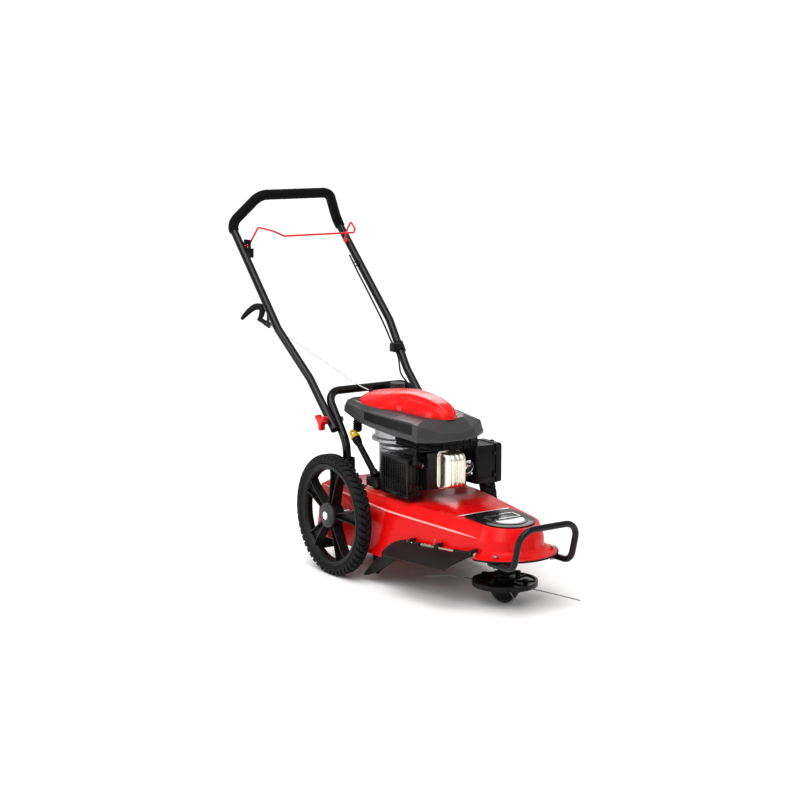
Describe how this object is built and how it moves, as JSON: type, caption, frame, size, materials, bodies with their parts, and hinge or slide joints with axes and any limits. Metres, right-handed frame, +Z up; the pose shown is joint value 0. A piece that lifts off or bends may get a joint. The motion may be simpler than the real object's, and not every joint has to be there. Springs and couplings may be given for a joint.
{
  "type": "walk-behind wheeled brush cutter",
  "caption": "Two-wheeled walk-behind brush cutter with folding push handle, red wedge deck, vertical-shaft petrol engine and belt-driven nylon-line cutting head.",
  "frame": {"origin": "on the ground at the middle of the overall length and width, measured with the cutting lines in place", "axes": "+X forward, from the wheels to the cutting head; +Y to the machine's left as the user stands behind it; +Z up"},
  "size_m": [1.4254, 0.51, 1.092],
  "materials": {
    "deck_red": "gloss",
    "tube_black": "gloss",
    "frame_black": "satin",
    "fastener_steel": "satin",
    "zinc_rod": "bright",
    "axle_steel": "satin",
    "tyre": "matt",
    "rim_black": "satin",
    "cap_black": "gloss",
    "knob_red": "gloss",
    "badge_black": "gloss",
    "deflector_dark": "satin",
    "rubber_black": "matt",
    "disc_black": "satin",
    "line_grey": "satin",
    "engine_black": "satin",
    "cast_alu": "cast",
    "chrome_cover": "bright",
    "guard_black": "satin",
    "silencer_steel": "heat darkened",
    "shroud_grey": "satin",
    "cover_red": "gloss",
    "black_plastic": "satin",
    "cap_grey": "satin",
    "dipstick_yellow": "gloss",
    "foam_black": "foam",
    "bail_red": "gloss",
    "rope_white": "braided",
    "cable_black": "satin",
    "belt_rubber": "matt",
    "bearing_steel": "ground"
  },
  "bodies": {
    "chassis": {"deck_shell": "deck_red", "nose_badge": "badge_black", "fasteners": "fastener_steel", "deck_brackets": "frame_black", "wheel_axle": "axle_steel", "front_bumper": "tube_black", "hinge_rods": "zinc_rod", "deflector_spring": "bearing_steel", "debris_skirt": "rubber_black", "spindle_housing": "frame_black", "spindle_bearings": "bearing_steel", "drive_belt": "belt_rubber", "engine_base": "engine_black", "crankcase": "cast_alu", "cylinder_head": "cast_alu", "rocker_cover": "chrome_cover", "spark_plug": "bearing_steel", "plug_lead": "cable_black", "muffler": "silencer_steel", "muffler_guard": "guard_black", "carburettor": "cast_alu", "air_filter_box": "black_plastic", "engine_shroud": "shroud_grey", "top_cover": "cover_red", "fuel_tank": "black_plastic", "filler_tube": "black_plastic", "lower_handle": "tube_black", "starter_rope": "rope_white", "brake_cable_lower": "cable_black"},
    "trimmer_head": {"spindle_shaft": "axle_steel", "head_pulley": "fastener_steel", "line_disc": "disc_black", "trimmer_lines": "line_grey", "glide_cup": "disc_black"},
    "crank": {"crankshaft": "axle_steel", "crank_pulley": "fastener_steel", "flywheel": "cast_alu"},
    "folding_handle": {"upper_handle": "tube_black", "foam_grip": "foam_black", "handle_clips": "black_plastic", "rope_guide": "frame_black", "brake_cable_upper": "cable_black"},
    "wheel_left": {"tyre_left": "tyre", "rim_left": "rim_black", "hub_cap_left": "cap_black"},
    "wheel_right": {"tyre_right": "tyre", "rim_right": "rim_black", "hub_cap_right": "cap_black"},
    "bail": {"bail": "bail_red"},
    "brake_arm": {"brake_arm": "zinc_rod"},
    "starter_grip": {"starter_grip": "black_plastic"},
    "starter_reel": {"starter_reel": "cap_grey"},
    "side_deflector": {"side_deflector": "deflector_dark"},
    "rear_flap": {"rear_flap": "rubber_black"},
    "fuel_cap": {"fuel_cap": "cap_grey"},
    "dipstick": {"dipstick": "dipstick_yellow"},
    "air_filter_cover": {"air_filter_cover": "black_plastic"},
    "choke_lever": {"choke_lever": "cap_grey"},
    "star_knob_left": {"star_knob_left": "knob_red"},
    "star_knob_right": {"star_knob_right": "knob_red"}
  },
  "joints": [
    {"name": "wheel_left_spin", "type": "hinge", "parent": "chassis", "child": "wheel_left", "pos_m": [-0.0719, 0.225, 0.178], "axis": [0, 1, 0], "continuous": true},
    {"name": "wheel_right_spin", "type": "hinge", "parent": "chassis", "child": "wheel_right", "pos_m": [-0.0719, -0.225, 0.178], "axis": [0, 1, 0], "continuous": true},
    {"name": "crank_spin", "type": "hinge", "parent": "chassis", "child": "crank", "pos_m": [-0.0319, 0, 0.3], "axis": [0, 0, 1], "continuous": true},
    {"name": "trimmer_spin", "type": "hinge", "parent": "chassis", "child": "trimmer_head", "pos_m": [0.4561, 0, 0.1], "axis": [0, 0, 1], "continuous": true},
    {"name": "handle_fold", "type": "hinge", "parent": "chassis", "child": "folding_handle", "pos_m": [-0.1639, 0, 0.438], "axis": [0, 1, 0], "range_deg": [0, 135], "deforming": ["starter_rope", "brake_cable_lower"]},
    {"name": "knob_left_turn", "type": "hinge", "parent": "chassis", "child": "star_knob_left", "pos_m": [-0.1639, 0.198, 0.438], "axis": [0, 1, 0], "range_deg": [0, 720]},
    {"name": "knob_right_turn", "type": "hinge", "parent": "chassis", "child": "star_knob_right", "pos_m": [-0.1639, -0.198, 0.438], "axis": [0, -1, 0], "range_deg": [0, 720]},
    {"name": "bail_squeeze", "type": "hinge", "parent": "folding_handle", "child": "bail", "pos_m": [-0.6319, 0, 0.921], "axis": [0, -1, 0], "range_deg": [0, 55], "stiffness_Nm_per_rad": 0.8},
    {"name": "brake_arm_swing", "type": "hinge", "parent": "chassis", "child": "brake_arm", "pos_m": [-0.0819, 0.083, 0.376], "axis": [0, 0, -1], "range_deg": [0, 21]},
    {"name": "starter_pull", "type": "slide", "parent": "folding_handle", "child": "starter_grip", "axis": [-0.8196, -0.3902, 0.4195], "range_m": [0, 0.45], "stiffness_N_per_m": 40},
    {"name": "reel_spin", "type": "hinge", "parent": "chassis", "child": "starter_reel", "pos_m": [-0.0319, 0, 0.503], "axis": [0, 0, 1], "range_deg": [0, 880]},
    {"name": "deflector_lift", "type": "hinge", "parent": "chassis", "child": "side_deflector", "pos_m": [0.2241, -0.173, 0.15], "axis": [-0.985, -0.1679, -0.041], "range_deg": [0, 80], "stiffness_Nm_per_rad": 0.4, "deforming": ["deflector_spring"]},
    {"name": "rear_flap_swing", "type": "hinge", "parent": "chassis", "child": "rear_flap", "pos_m": [-0.2359, 0, 0.112], "axis": [0, 1, 0], "range_deg": [0, 70]},
    {"name": "fuel_cap_turn", "type": "hinge", "parent": "chassis", "child": "fuel_cap", "pos_m": [-0.1599, 0.062, 0.515], "axis": [0, 0, 1], "range_deg": [0, 90]},
    {"name": "dipstick_turn", "type": "hinge", "parent": "chassis", "child": "dipstick", "pos_m": [-0.1319, -0.106, 0.382], "axis": [-0.6989, -0.0446, 0.7138], "range_deg": [0, 90]},
    {"name": "filter_cover_pull", "type": "slide", "parent": "chassis", "child": "air_filter_cover", "axis": [0, 1, 0], "range_m": [0, 0.06]},
    {"name": "choke_lever_turn", "type": "hinge", "parent": "chassis", "child": "choke_lever", "pos_m": [0.1961, 0.04, 0.348], "axis": [0, 0, 1], "range_deg": [-25, 0]}
  ],
  "couplings": [
    {"joint": "trimmer_spin", "follows": "crank_spin", "ratio": 0.6667},
    {"joint": "brake_arm_swing", "follows": "bail_squeeze", "ratio": 0.36},
    {"joint": "reel_spin", "follows": "starter_pull", "rad_per_m": 33.333}
  ]
}
